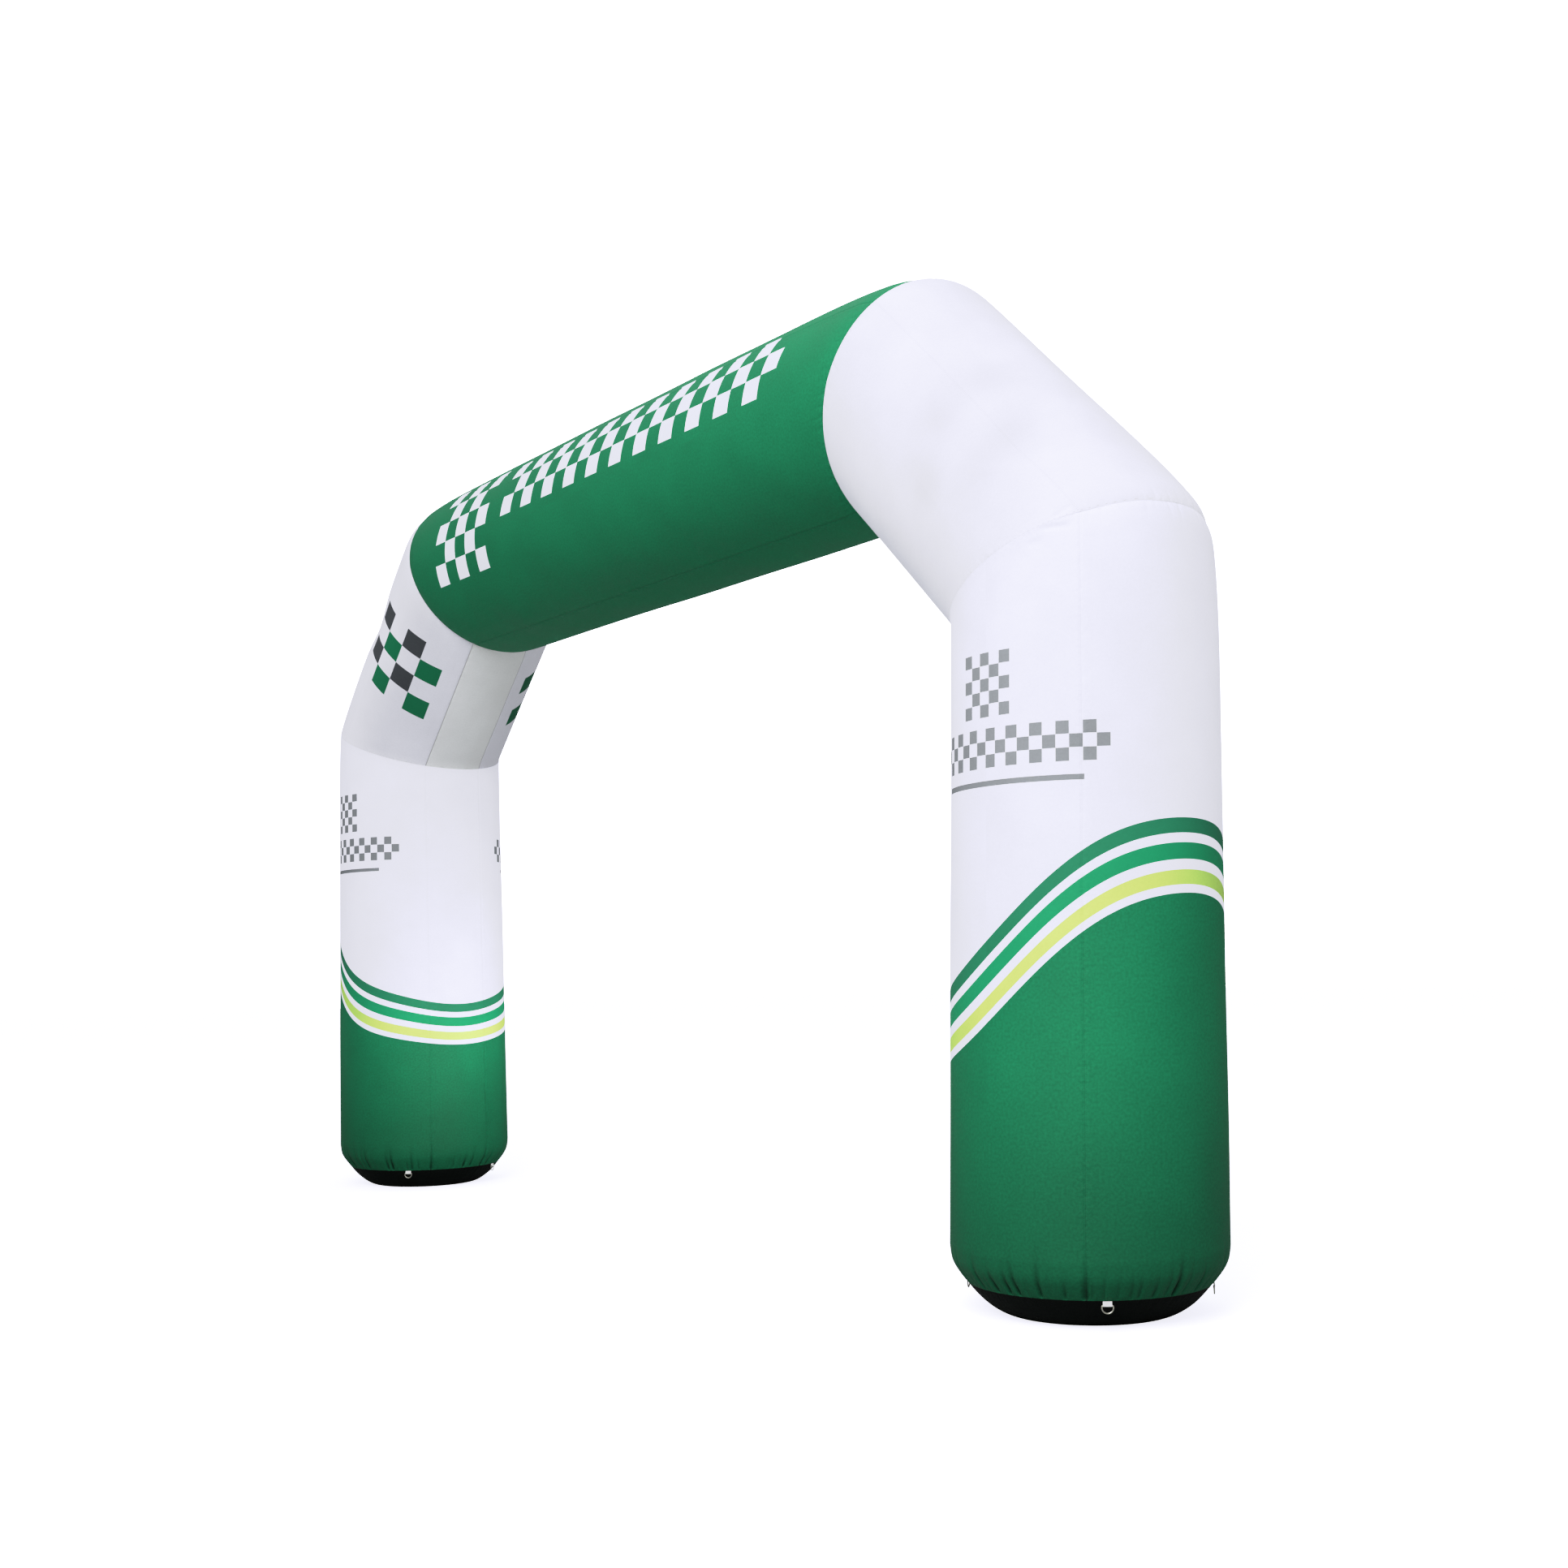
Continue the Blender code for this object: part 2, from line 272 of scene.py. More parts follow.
CLOTH_SHINE = 0.13
SEAM_LINE = (0.0014, 0.0040)
NEEDLE_ROW = (0.0085, 0.0006)
NEEDLE_PITCH = 0.0035
NEEDLE_HOLE = 0.0009
BLOTCH_SCALE, BLOTCH_RANGE = 3.2, (0.93, 1.07)
GRAIN_SCALE = 105.0
FOOT_RANGE = (0.15, 1.05)
GLOSS_RANGE = (0.64, 0.76)
WEAVE_SCALE, WEAVE_DEPTH = 210.0, 0.0002
PUCKER_SCALE, PUCKER_REACH, PUCKER_DEPTH = 34.0, 0.045, 0.0045
WHITE = (0.575, 0.570, 0.640)
# Painted light: the white cloth glows, an emission in place of the light that comes through the thin cloth.
WHITE_GLOW = 0.50
GREEN = (0.0074, 0.161, 0.069)
DARK_STRIPE = (0.016, 0.172, 0.086)
MID_STRIPE = (0.010, 0.245, 0.105)
LIME_STRIPE = (0.49, 0.74, 0.15)
GREY_PRINT = (0.20, 0.21, 0.225)

STRIPE_TOP = (1.3245, 0.3702, 0.1731, -0.0378, -0.0947)
STRIPE_BAND = (0.2854, 0.0107, -0.0369)
STRIPE_EDGES = (0.0, 0.2025, 0.331, 0.552, 0.6905, 0.888, 1.0)
CHEQUER_TURN = 5.5
CHEQUER_ROWS = (1.93, 1.977, 2.024, 2.07)
CHEQUER_SPAN = (-50, 54.5)
RULE_ROWS = (1.865, 1.885)
RULE_SPAN = (-35, 44)
BLOCK_ROWS = (2.11, 2.156, 2.202, 2.248, 2.294, 2.34)
BLOCK_SPAN = (-15, 12.5)
BLOCK_TURN = 5.5
LEG_LEVELS = (1.80,) + RULE_ROWS + CHEQUER_ROWS + BLOCK_ROWS + (2.36,)


def coated_cloth(name, colour, line_shade=0.8, glow=0.0, foot_shade=1.0, shine=CLOTH_SHINE, speckle=0.03):
    """Woven polyester under a thin coat: weave, faint blotches, and needle lines and puckers along its seams.

    line_shade is how dark the stitched line is; glow is painted light, an emission in place of light through the
    cloth;
    foot_shade is painted shade that darkens the cloth towards the ground. The skin's shade is painted shade in
    folds and dents.
    """
    made = bpy.data.materials.new(name)
    tree, add, link = node_tree(made)
    cloth = add("UVMap", uv_map="cloth")
    seam = add("Attribute", attribute_name="seam")
    shader = add("BsdfPrincipled", in_Specular_IOR_Level=shine, in_Emission_Strength=glow)
    out = add("OutputMaterial")
    link(shader.outputs[0], out.inputs["Surface"])

    blotches = add("TexNoise", in_Scale=BLOTCH_SCALE, in_Detail=4.0, in_Roughness=0.6)
    grain = add("TexNoise", in_Scale=GRAIN_SCALE, in_Detail=2.0)
    shade = add("MapRange", in_1=0.3, in_2=0.7, in_3=BLOTCH_RANGE[0], in_4=BLOTCH_RANGE[1])
    speck = add("MapRange", in_1=0.3, in_2=0.7, in_3=1.0 - speckle, in_4=1.0 + speckle)
    tone = add("Math", operation="MULTIPLY")
    link(cloth.outputs[0], blotches.inputs["Vector"])
    link(cloth.outputs[0], grain.inputs["Vector"])
    link(blotches.outputs[0], shade.inputs[0])
    link(grain.outputs[0], speck.inputs[0])
    link(shade.outputs[0], tone.inputs[0])
    link(speck.outputs[0], tone.inputs[1])

    line = add("MapRange", in_1=SEAM_LINE[0], in_2=SEAM_LINE[1], in_3=line_shade, in_4=1.0)
    needle_row = add("Math", operation="COMPARE", in_1=NEEDLE_ROW[0], in_2=NEEDLE_ROW[1])
    apart = add("SeparateXYZ")
    beat = add("Math", operation="PINGPONG", in_1=NEEDLE_PITCH)
    hole = add("Math", operation="LESS_THAN", in_1=NEEDLE_HOLE)
    holes = add("Math", operation="MULTIPLY")
    pricked = add("MapRange", in_1=0.0, in_2=1.0, in_3=1.0, in_4=line_shade)
    lined = add("Math", operation="MULTIPLY")
    finished = add("Math", operation="MULTIPLY")
    # Painted shade: the cloth grows darker towards the ground, and darker where the skin's shade attribute marks
    # folds, puckers and dents.
    foot = add(
        "MapRange", in_1=FOOT_RANGE[0], in_2=FOOT_RANGE[1], in_3=foot_shade, in_4=1.0,
        interpolation_type="SMOOTHSTEP",
    )
    shade_share = add("Attribute", attribute_name="shade")
    kept = add("Math", operation="SUBTRACT", in_0=1.0)
    both = add("Math", operation="MULTIPLY")
    deepened = add("Math", operation="MULTIPLY")
    link(seam.outputs["Fac"], line.inputs[0])
    link(seam.outputs["Fac"], needle_row.inputs[0])
    link(cloth.outputs[0], apart.inputs[0])
    link(apart.outputs["Y"], beat.inputs[0])
    link(beat.outputs[0], hole.inputs[0])
    link(hole.outputs[0], holes.inputs[0])
    link(needle_row.outputs[0], holes.inputs[1])
    link(holes.outputs[0], pricked.inputs[0])
    link(tone.outputs[0], lined.inputs[0])
    link(line.outputs[0], lined.inputs[1])
    link(lined.outputs[0], finished.inputs[0])
    link(pricked.outputs[0], finished.inputs[1])
    link(apart.outputs["Y"], foot.inputs[0])
    link(finished.outputs[0], deepened.inputs[0])
    link(shade_share.outputs["Fac"], kept.inputs[1])
    link(foot.outputs[0], both.inputs[0])
    link(kept.outputs[0], both.inputs[1])
    link(both.outputs[0], deepened.inputs[1])
    dyed = add("Mix", data_type="RGBA", blend_type="MULTIPLY")
    dyed.inputs[0].default_value = 1.0
    dyed.inputs[6].default_value = (*colour, 1.0)
    link(deepened.outputs[0], dyed.inputs[7])
    link(dyed.outputs[2], shader.inputs["Base Color"])
    # The glow is painted light, and the painted shade dims it as well.
    glowing = add("Mix", data_type="RGBA", blend_type="MULTIPLY")
    glowing.inputs[0].default_value = 1.0
    glowing.inputs[6].default_value = (*colour, 1.0)
    link(kept.outputs[0], glowing.inputs[7])
    link(glowing.outputs[2], shader.inputs["Emission Color"])

    gloss = add("MapRange", in_1=0.3, in_2=0.7, in_3=GLOSS_RANGE[0], in_4=GLOSS_RANGE[1])
    link(blotches.outputs[0], gloss.inputs[0])
    link(gloss.outputs[0], shader.inputs["Roughness"])

    warp = add("TexWave", bands_direction="X", in_Scale=WEAVE_SCALE, in_Distortion=0.6, in_Detail=0.0)
    weft = add("TexWave", bands_direction="Y", in_Scale=WEAVE_SCALE, in_Distortion=0.6, in_Detail=0.0)
    weave = add("Math", operation="MAXIMUM")
    link(cloth.outputs[0], warp.inputs["Vector"])
    link(cloth.outputs[0], weft.inputs["Vector"])
    link(warp.outputs[0], weave.inputs[0])
    link(weft.outputs[0], weave.inputs[1])
    ripples = add("TexNoise", in_Scale=PUCKER_SCALE, in_Detail=3.0, in_Roughness=0.5)
    close = add("MapRange", in_1=0.0, in_2=PUCKER_REACH, in_3=1.0, in_4=0.04)
    puckers = add("Math", operation="MULTIPLY")
    link(cloth.outputs[0], ripples.inputs["Vector"])
    link(seam.outputs["Fac"], close.inputs[0])
    link(ripples.outputs[0], puckers.inputs[0])
    link(close.outputs[0], puckers.inputs[1])
    drawn = add("Bump", in_Strength=1.0, in_Distance=PUCKER_DEPTH)
    woven = add("Bump", in_Strength=0.35, in_Distance=WEAVE_DEPTH)
    link(puckers.outputs[0], drawn.inputs["Height"])
    link(weave.outputs[0], woven.inputs["Height"])
    link(drawn.outputs[0], woven.inputs["Normal"])
    link(woven.outputs[0], shader.inputs["Normal"])
    return made


# The white cloth's glow is painted light.
white_cloth = coated_cloth("white coated cloth", WHITE, 0.7, WHITE_GLOW)
# The green foot cloth grows darker towards the ground: painted shade.
green_cloth = coated_cloth("green foot cloth", GREEN, 0.6, 0.0, 0.54, speckle=0.13)
dark_stripe = coated_cloth("dark green print", DARK_STRIPE)
mid_stripe = coated_cloth("mid green print", MID_STRIPE)
lime_stripe = coated_cloth("lime print", LIME_STRIPE)
grey_print = coated_cloth("grey print", GREY_PRINT)


def tube_skin(name, rows, place, dye, finishes):
    """Closed skin of a tube. A plain round drum is cut into rows, and its points are then set out.

    place(turn, row) gives their places, with each one's distance along the tube, its distance from the nearest
    seam and its painted shade.
    dye(turn, row) gives each face's finish, by the lowest turn and row of its corners.
    """
    shape = bmesh.new()
    bmesh.ops.create_cone(shape, cap_ends=True, segments=COLUMNS, radius1=1.0, radius2=1.0, depth=rows - 1)
    walls = [edge for edge in shape.edges if edge.verts[0].co.z * edge.verts[1].co.z < 0]
    bmesh.ops.subdivide_edges(shape, edges=walls, cuts=rows - 2, use_grid_fill=True)
    bmesh.ops.translate(shape, verts=shape.verts, vec=(0.0, 0.0, (rows - 1) / 2))
    bmesh.ops.recalc_face_normals(shape, faces=shape.faces)
    mesh = bpy.data.meshes.new(name)
    shape.to_mesh(mesh)
    shape.free()

    spots = np.empty(len(mesh.vertices) * 3)
    mesh.vertices.foreach_get("co", spots)
    spots = spots.reshape(-1, 3)
    column = np.rint(np.arctan2(spots[:, 0], -spots[:, 1]) / math.tau * COLUMNS).astype(int) % COLUMNS
    row = np.rint(spots[:, 2]).astype(int)
    placed, along, from_seam, shade = place(column, row)
    mesh.vertices.foreach_set("co", placed.ravel())
    mesh.attributes.new("seam", "FLOAT", "POINT").data.foreach_set("value", from_seam)
    mesh.attributes.new("shade", "FLOAT", "POINT").data.foreach_set("value", shade)

    corners = np.empty(len(mesh.loops), int)
    mesh.loops.foreach_get("vertex_index", corners)
    starts = np.empty(len(mesh.polygons), int)
    totals = np.empty(len(mesh.polygons), int)
    mesh.polygons.foreach_get("loop_start", starts)
    mesh.polygons.foreach_get("loop_total", totals)
    quads = starts[totals == 4][:, None] + np.arange(4)
    across = column[corners].astype(float)
    block = across[quads]
    block[(np.ptp(block, axis=1) > COLUMNS / 2)[:, None] & (block < COLUMNS / 2)] += COLUMNS
    across[quads] = block
    cloth = np.column_stack((across * math.tau * KNEE_RADIUS / COLUMNS, along[corners]))
    mesh.uv_layers.new(name="cloth").data.foreach_set("uv", cloth.ravel())
    finish = np.zeros(len(mesh.polygons), int)
    finish[totals == 4] = dye(block.min(axis=1) % COLUMNS * 360 / COLUMNS, row[corners][quads].min(axis=1))
    for material in finishes:
        mesh.materials.append(material)
    mesh.polygons.foreach_set("material_index", finish)
    mesh.update()

    turned = bmesh.new()
    turned.from_mesh(mesh)
    if turned.calc_volume(signed=True) < 0:
        bmesh.ops.reverse_faces(turned, faces=turned.faces)
    turned.to_mesh(mesh)
    turned.free()
    mesh.shade_smooth()
    mesh.set_sharp_from_angle(angle=math.radians(50))
    skin = bpy.data.objects.new(name, mesh)
    scene.collection.objects.link(skin)
    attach(skin, "root")
    return skin


def signed_turn(turn):
    """Angle between -180 and 180 degrees."""
    return (turn + 180) % 360 - 180


def seam_arc(turn, quiet=(0.0, 0.0, 0.0, 0.0)):
    """Distance round the tube from the nearest lengthwise seam. A quiet one counts as a little further away."""
    pairs = zip(SEAM_ANGLES, quiet)
    return np.min([np.radians(abs(signed_turn(turn - seam))) * KNEE_RADIUS + far for seam, far in pairs], axis=0)


def cut_normal(before, corner, after):
    """Normal of the mitre that halves the bend of the centre line at a corner."""
    return ((corner - before).normalized() + (after - corner).normalized()).normalized()


def leg_radius(height):
    """Radius of the leg and of its base at a height over the ground."""
    full = FOOT_RADIUS + (KNEE_RADIUS - FOOT_RADIUS) * height / KNEE.z
    left = np.clip(1 - height / ROUNDING_HEIGHT, 0, 1)
    rounding = (1 - left ** ROUNDING_POWER) ** (1 / ROUNDING_POWER)
    return SOLE_RADIUS + (full - SOLE_RADIUS) * rounding


def outer_side(turn):
    """1 where a knee bends outwards, falling to a small share round its front, inner side and back."""
    rise = np.clip((np.sin(np.radians(turn)) - OUTER_START) / OUTER_SPREAD, 0, 1)
    return INNER_SHARE + (1 - INNER_SHARE) * rise * rise * (3 - 2 * rise)


def mitre_draw(distance, turn, ease, reach, knee=True):
    """Depth to which a mitre seam draws the cloth in: a soft roll and a tight crease at the stitches.

    On the outside of the bend the cloth also eases round the corner, and on the inside it fills it a little.
    """
    roll = (KNEE_ROLL if knee else SEAM_ROLL) * np.exp(-((distance / ROLL_REACH) ** 2))
    tight = (KNEE_CREASE if knee else SEAM_CREASE) * np.exp(-distance / CREASE_REACH)
    rise = np.sin(np.radians(turn))
    filled = knee * INNER_FILL * np.exp(-distance / INNER_REACH)
    corner = np.where(rise > 0, ease * np.exp(-distance / reach), filled)
    return (roll + tight) * (outer_side(turn) if knee else 1.0) + corner * rise


def nicks(turn, distance, places):
    """Short soft creases along a seam. Each place gives its turn, distance, half length, width and depth."""
    total = 0.0
    for centre, away, half_length, width, depth in places:
        arc = np.radians(signed_turn(turn - centre)) * KNEE_RADIUS
        aside = distance - away - NICK_SLANT * arc
        total = total - depth * np.exp(-((arc / half_length) ** 4) - (aside / width) ** 2)
    return total


def rim_radius(turn, ease, knee=True):
    """Radius of the tube right at a mitre seam."""
    return KNEE_RADIUS - mitre_draw(0.0, turn, ease, 1.0, knee)


def seam_draw(arc):
    """Depth of the channel along a lengthwise seam."""
    return SEAM_DEPTH * np.exp(-((arc / SEAM_REACH) ** 2))


def waviness(turn, along, seed, size):
    """Slight unevenness of the taut cloth, a few hand widths across."""
    dice = random.Random(seed)
    total = 0.0
    for wave in range(9):
        around = dice.randint(2, 9)
        lengthwise = dice.uniform(-7.0, 7.0)
        total = total + np.sin(np.radians(turn) * around + along * lengthwise + dice.uniform(0, math.tau))
    return size * total / 3


def pleats(turn, distance, seed, radius, spacing, depth, height, peak, uneven=1):
    """Creases that fan out from a gathered or bunched seam, each with its own place, depth, height and slant.

    The result is the way out, so a crease is less than nothing. uneven above 1 sets deep creases among faint ones.
    """
    dice = random.Random(seed)
    total = np.zeros_like(distance)
    centre = 0.0
    arc = np.radians(turn) * radius
    whole = math.tau * radius
    while centre < whole:
        own_depth = depth * dice.uniform(0.35, 1.3) ** uneven
        own_height = height * dice.uniform(0.5, 1.4)
        slant = dice.uniform(-0.09, 0.09)
        width = dice.uniform(0.0045, 0.0075)
        away = (arc - centre - slant * distance + whole / 2) % whole - whole / 2
        spread = width + 0.05 * distance
        low_fade = distance / peak * np.exp(1 - distance / peak)
        fade = low_fade * 0.35 + np.exp(-((distance / own_height) ** 2)) * 0.65
        fade = fade * (1 - np.exp(-distance / (0.3 * peak)))
        total -= own_depth * fade * (np.exp(-np.abs(away / spread) ** 1.4) - 1.82 * spread / whole)
        centre += spacing * dice.uniform(0.65, 1.4)
    return total


def leg_heights(turns):
    """Heights of a leg's rows for each turn: level rows, rows along the stripes, and rows along the mitre."""
    rise = np.sin(np.radians(turns))
    slope = (KNEE.x - FOOT.x) / KNEE.z
    tilt = cut_normal(FOOT, KNEE, CORNER)
    top = KNEE.z - rim_radius(turns, KNEE_EASE) * rise * tilt.x / (slope * tilt.x + tilt.z) - GAP / 2
    level = np.ones_like(rise)
    low = BASE_SEAM + GAP
    stripe_top = sum(part * rise ** power for power, part in enumerate(STRIPE_TOP))
    band = sum(part * rise ** power for power, part in enumerate(STRIPE_BAND))
    stations = [(level * (low + 0.24), 0), (level * 0.70, 7)]
    for count, share in zip((11, 2, 2, 2, 2, 2, 2), reversed(STRIPE_EDGES)):
        stations.append((stripe_top - band * share, count))
    stations.append((level * LEG_LEVELS[0], 10))
    for height in LEG_LEVELS[1:]:
        stations.append((level * height, 1))
    stations.append((top - MITRE_STEPS[-1], 8))
    foot_steps = [0.24 * (index / 27) ** 1.5 for index in range(28)]
    rows = [level * (low + step) for step in foot_steps]
    for (start, _), (end, count) in zip(stations, stations[1:]):
        rows += [start + (end - start) * (index + 1) / count for index in range(count)]
    rows += [top - step for step in reversed(MITRE_STEPS[:-1])]
    return np.array(rows), low, top


turns = np.arange(COLUMNS) * 360 / COLUMNS
LEG_ROWS, LEG_LOW, LEG_TOP = leg_heights(turns)
STRIPE_ROW = 28 + 7 - 1 + 11


def leg_skin(name, side, seed):
    """One leg's skin; side is 1 for the right leg and -1 for its mirror image."""
    def place(column, row):
        height = LEG_ROWS[row, column]
        turn = turns[column]
        above = height - LEG_LOW
        below = LEG_TOP[column] - height
        arc = seam_arc(turn)
        inside = row > 0
        size = leg_radius(height) - mitre_draw(below, turn, KNEE_EASE, KNEE_REACH)
        size += FOOT_FULLNESS * np.exp(-(((height - FULLEST) / FULL_REACH) ** 2))
        soft = -seam_draw(arc) + waviness(turn, height, seed, LEG_WAVES) * (1 - np.exp(-above / LEG_WAVE_START))
        gathers = pleats(turn, above, seed + 1, *FOOT_GATHERS)
        soft += gathers
        pucker = np.exp(-((arc / PUCKER_WIDTH) ** 2) - (above / PUCKER_HEIGHT) ** 2)
        soft -= SEAM_PUCKER * pucker * (1 - np.exp(-above / PUCKER_START))
        # Painted shade in the creases of the gathered foot and in the pucker at the foot of each seam.
        shade = np.clip(-gathers / GATHER_DEPTH, 0, 1)
        shade = shade + np.exp(-((arc / PUCKER_SHADE[0]) ** 2) - (above / PUCKER_SHADE[1]) ** 2)
        soft += pleats(turn, below, seed + 2, *KNEE_PLEATS) * outer_side(turn)
        soft += nicks(turn, below, LEG_NICKS)
        size = size + np.where(inside, soft, 0.0)
        centre = FOOT.x + (KNEE.x - FOOT.x) * height / KNEE.z
        swing = np.radians(turn)
        placed = np.column_stack((side * (centre + size * np.sin(swing)), -size * np.cos(swing), height))
        from_end = np.minimum(above + MITRE_LINE, below + KNEE_LINE)
        from_seam = np.minimum(seam_arc(turn, PLAIN_SEAMS), from_end)
        return placed, height, from_seam, FOLD_SHADE * np.minimum(shade, 1)

    def dye(turn, row):
        middle = signed_turn(turn)
        finish = np.ones(len(row), int)
        finish[row >= STRIPE_ROW] = 0
        for band, cloth in enumerate((0, 4, 0, 3, 0, 2)):
            start = STRIPE_ROW + 2 * band
            finish[(row >= start) & (row < start + 2)] = cloth
        facing = np.where(np.abs(middle) > 90, signed_turn(180 - middle), middle)
        base = np.array([LEG_ROWS[index, 0] for index in range(len(LEG_ROWS))])
        height = base[row] + 0.001

        def between(value, span):
            return (value >= span[0]) & (value < span[1])

        level = row > STRIPE_ROW + 14
        square = np.floor((facing + 0.01 - CHEQUER_SPAN[0]) / CHEQUER_TURN).astype(int)
        storey = np.digitize(height, CHEQUER_ROWS)
        marks = level & between(height, (CHEQUER_ROWS[0], CHEQUER_ROWS[-1])) & between(facing, CHEQUER_SPAN)
        finish[marks & ((square + storey) % 2 == 0)] = 5
        finish[level & between(height, RULE_ROWS) & between(facing, RULE_SPAN)] = 5
        square = np.floor((facing + 0.01 - BLOCK_SPAN[0]) / BLOCK_TURN).astype(int)
        storey = np.digitize(height, BLOCK_ROWS)
        marks = level & between(height, (BLOCK_ROWS[0], BLOCK_ROWS[-1])) & between(facing, BLOCK_SPAN)
        finish[marks & ((square + storey) % 2 == 1)] = 5
        return finish

    finishes = (white_cloth, green_cloth, dark_stripe, mid_stripe, lime_stripe, grey_print)
    return tube_skin(name, len(LEG_ROWS), place, dye, finishes)


for half, side in (("left", -1), ("right", 1)):
    leg = leg_skin(f"leg_{half}_cloth", side, LEG_SEED + side)
    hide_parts(f"leg_{half}")

# The two shoulder tubes are of the same white cloth, mitred at both ends and sewn to the leg and crossbar.
# Their white is darker than the legs' and glows less, which is painted shade; their belly panel is a warmer grey,
# and its slightly weaker glow is painted shade for the shade it hangs in. The left one carries a printed pattern.
# Painted shade: the shoulders' white and belly white are darker copies of the leg white, with less painted glow.
SHOULDER_WHITE = (0.560, 0.555, 0.610)
SHOULDER_GLOW = 0.36
BELLY_WHITE = (0.575, 0.577, 0.585)
BELLY_GLOW = 0.34
SHOULDER_SEAMS = (0.0, 0.006, 0.006, 0.0)
CROWN_EASE = 0.027
CROWN_REACH = 0.030
UPPER_KNEE_REACH = 0.15
SHOULDER_NICKS = (
    (37, 0.024, 0.045, 0.009, 0.0050),
    (142, 0.024, 0.040, 0.009, 0.0050),
    (60, 0.30, 0.035, 0.012, 0.0040),
)
MITRE_PLEATS = (0.48, 0.056, 0.0020, 0.045, 0.016)
SLANT_WAVES, SLANT_WAVE_START = 0.0016, 0.15
SOFT_START = 0.060
SHOULDER_SEED = 40
UNDER_START, UNDER_SPREAD = 5, 45
DENT_STRENGTH = 2.4
CHARCOAL_PRINT = (0.055, 0.060, 0.068)
SHOULDER_LEVELS = (0.30, 0.36, 0.42, 0.48, 0.54, 0.60, 0.66, 0.72, 0.78, 0.875, 0.97)
BADGE_ROWS = (0.30, 0.42, 0.54, 0.66, 0.78)
BADGE_SPAN = (-56, 12)
BADGE_TURN = 17
DENTS = {
    1: (
        (28, 0.63, 0.010, 0.13),
        (48, 0.97, 0.012, 0.17),
        (-2, 0.76, 0.008, 0.12),
        (150, 0.60, 0.010, 0.20),
    ),
    -1: (
        (30, 0.55, 0.008, 0.16),
        (150, 0.80, 0.009, 0.18),
    ),
}

# Painted shade: how much darker the left shoulder grows towards its under side, and soft patches of it over the
# right shoulder's dents, each with turn, distance, share and reach.
UNDER_SHADE = {1: 0.0, -1: 0.25}
DENT_SHADES = {
    1: (
        (26, 0.64, 0.17, 0.11),
        (56, 0.62, 0.15, 0.12),
        (47, 0.92, 0.17, 0.13),
        (0, 0.80, 0.13, 0.09),
        (22, 0.98, 0.12, 0.14),
    ),
    -1: (),
}

shoulder_cloth = coated_cloth("white shoulder cloth", SHOULDER_WHITE, 0.35, SHOULDER_GLOW)
belly_cloth = coated_cloth("white belly cloth", BELLY_WHITE, 0.35, BELLY_GLOW)
badge_green = coated_cloth("green badge print", GREEN)
charcoal_print = coated_cloth("charcoal print", CHARCOAL_PRINT)


def mitred_rows(start, end, first, last, levels, spread, knee):
    """Distances of the rows along a tube for each turn: mitre rows at both ends, level rows between."""
    along = (end - start).normalized()
    outside = Vector((-along.z, 0.0, along.x))
    rise = np.sin(np.radians(turns))
    first_reach = rise * rim_radius(turns, CROWN_EASE, False)
    last_reach = rise * (rim_radius(turns, KNEE_EASE) if knee else rim_radius(turns, CROWN_EASE, False))
    low = -first_reach * outside.dot(first) / along.dot(first) + GAP / 2
    high = ((end - start).dot(last) - last_reach * outside.dot(last)) / along.dot(last) - GAP / 2
    level = np.ones_like(rise)
    stations = [(low + MITRE_STEPS[-1], 0), (level * levels[0], spread)]
    stations += [(level * place, 2) for place in levels[1:]]
    stations.append((high - MITRE_STEPS[-1], spread))
    rows = [low + step for step in MITRE_STEPS]
    for (before, _), (after, count) in zip(stations, stations[1:]):
        rows += [before + (after - before) * (index + 1) / count for index in range(count)]
    rows += [high - step for step in reversed(MITRE_STEPS[:-1])]
    return np.array(rows), low, high


def slant_place(start, end, rows, low, high, radius, painted_shade, side, seed, knee, crown_reach, quiet):
    """The place function of a tube between two mitres. knee says that the tube ends in a knee.

    radius(turn, distance, edge) gives the tube's size, and the shade function (turn, distance) its painted shade.
    """
    along = (end - start).normalized()
    outside = np.array((-along.z, 0.0, along.x))
    front = np.array((0.0, -1.0, 0.0))

    def place(column, row):
        turn = turns[column]
        distance = rows[row, column]
        from_start, to_end = distance - low[column], high[column] - distance
        edge = np.minimum(from_start, to_end)
        arc = seam_arc(turn, quiet) if knee else seam_arc(turn)
        nearer_end = knee & (to_end < from_start)
        drawn = mitre_draw(from_start, turn, CROWN_EASE, crown_reach, False)
        end_ease, end_reach = (KNEE_EASE, UPPER_KNEE_REACH) if knee else (CROWN_EASE, crown_reach)
        drawn += mitre_draw(to_end, turn, end_ease, end_reach, knee)
        waves = waviness(turn, distance, seed, SLANT_WAVES)
        soft = -seam_draw(arc) + waves * (1 - np.exp(-edge / SLANT_WAVE_START))
        soft += pleats(turn, edge, seed + 1, *MITRE_PLEATS) * np.where(nearer_end, outer_side(turn), 1.0)
        soft += nicks(turn, to_end, SHOULDER_NICKS) * knee
        size = radius(signed_turn(turn), distance, edge) - drawn + soft
        swing = np.radians(turn)[:, None]
        rim = front * np.cos(swing) + outside * np.sin(swing)
        placed = np.array(start) + np.array(along) * distance[:, None] + rim * size[:, None]
        placed[:, 0] *= side
        from_seam = np.minimum(seam_arc(turn, quiet), edge + np.where(nearer_end, KNEE_LINE, MITRE_LINE))
        return placed, distance, from_seam, painted_shade(signed_turn(turn), distance)

    return place


